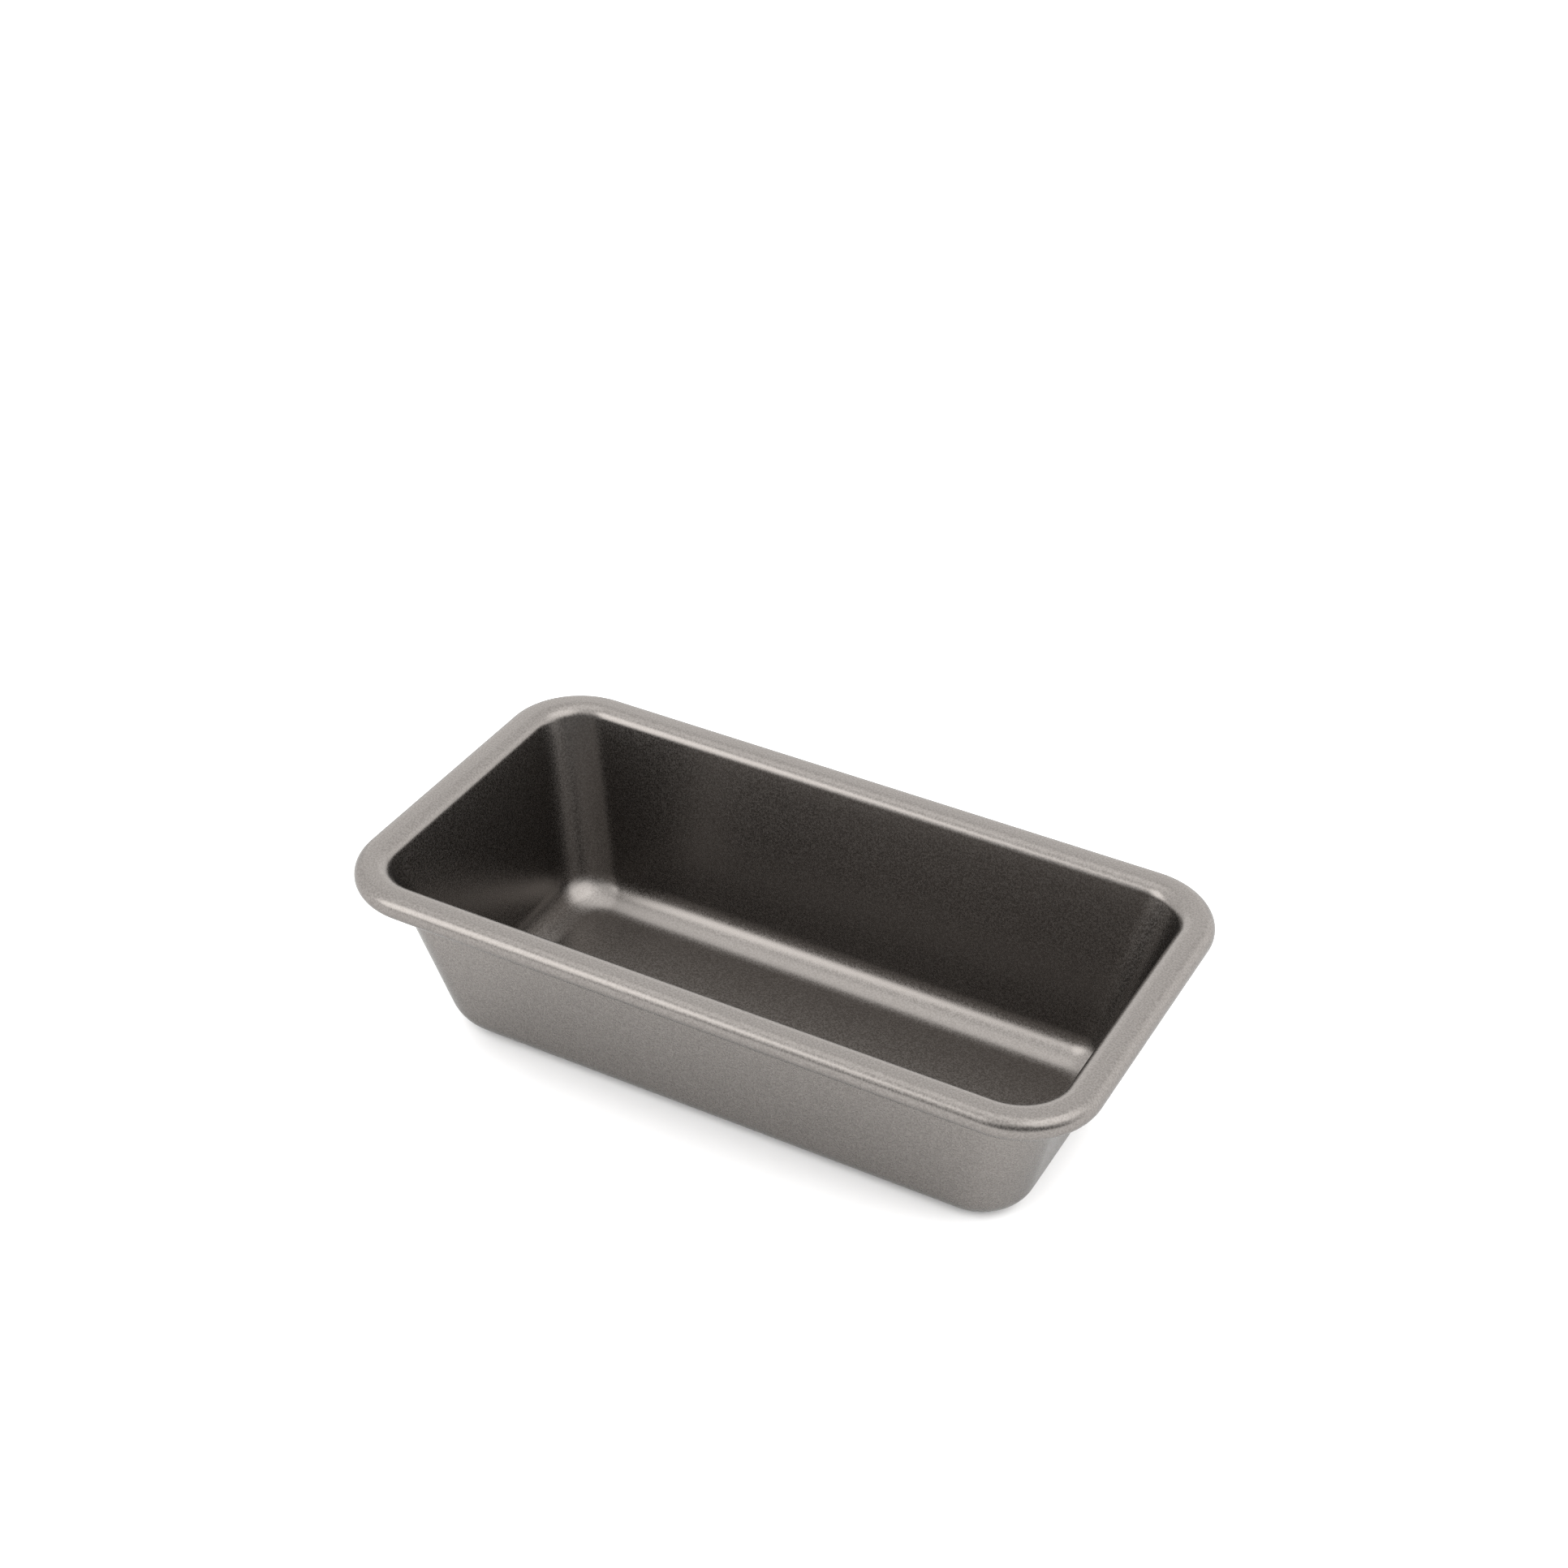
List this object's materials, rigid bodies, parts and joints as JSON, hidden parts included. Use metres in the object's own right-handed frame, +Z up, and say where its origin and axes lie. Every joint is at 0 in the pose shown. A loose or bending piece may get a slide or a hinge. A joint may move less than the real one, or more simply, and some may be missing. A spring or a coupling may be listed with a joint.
{
  "type": "loaf pan",
  "caption": "Tapered rectangular loaf pan pressed from non-stick coated steel sheet, with rounded corners and a flat rim rolled around a stiff wire; it holds dough or batter while it bakes.",
  "frame": {"origin": "centre of the flat underside that the pan stands on", "axes": "+X along the pan's length, +Y across its width, +Z up out of the open top"},
  "size_m": [0.25, 0.135, 0.0654],
  "materials": {
    "steel": "bare cold-rolled steel, seen only at the sheet's cut edge under the roll",
    "inner_coating": "semi-gloss warm grey non-stick coating with a fine metallic fleck",
    "outer_coating": "semi-gloss warm grey non-stick coating with a fine metallic fleck"
  },
  "bodies": {
    "root": {"steel_shell": "steel", "rim_wire": "steel", "inner_nonstick_coating": "inner_coating", "outer_nonstick_coating": "outer_coating"}
  },
  "joints": []
}
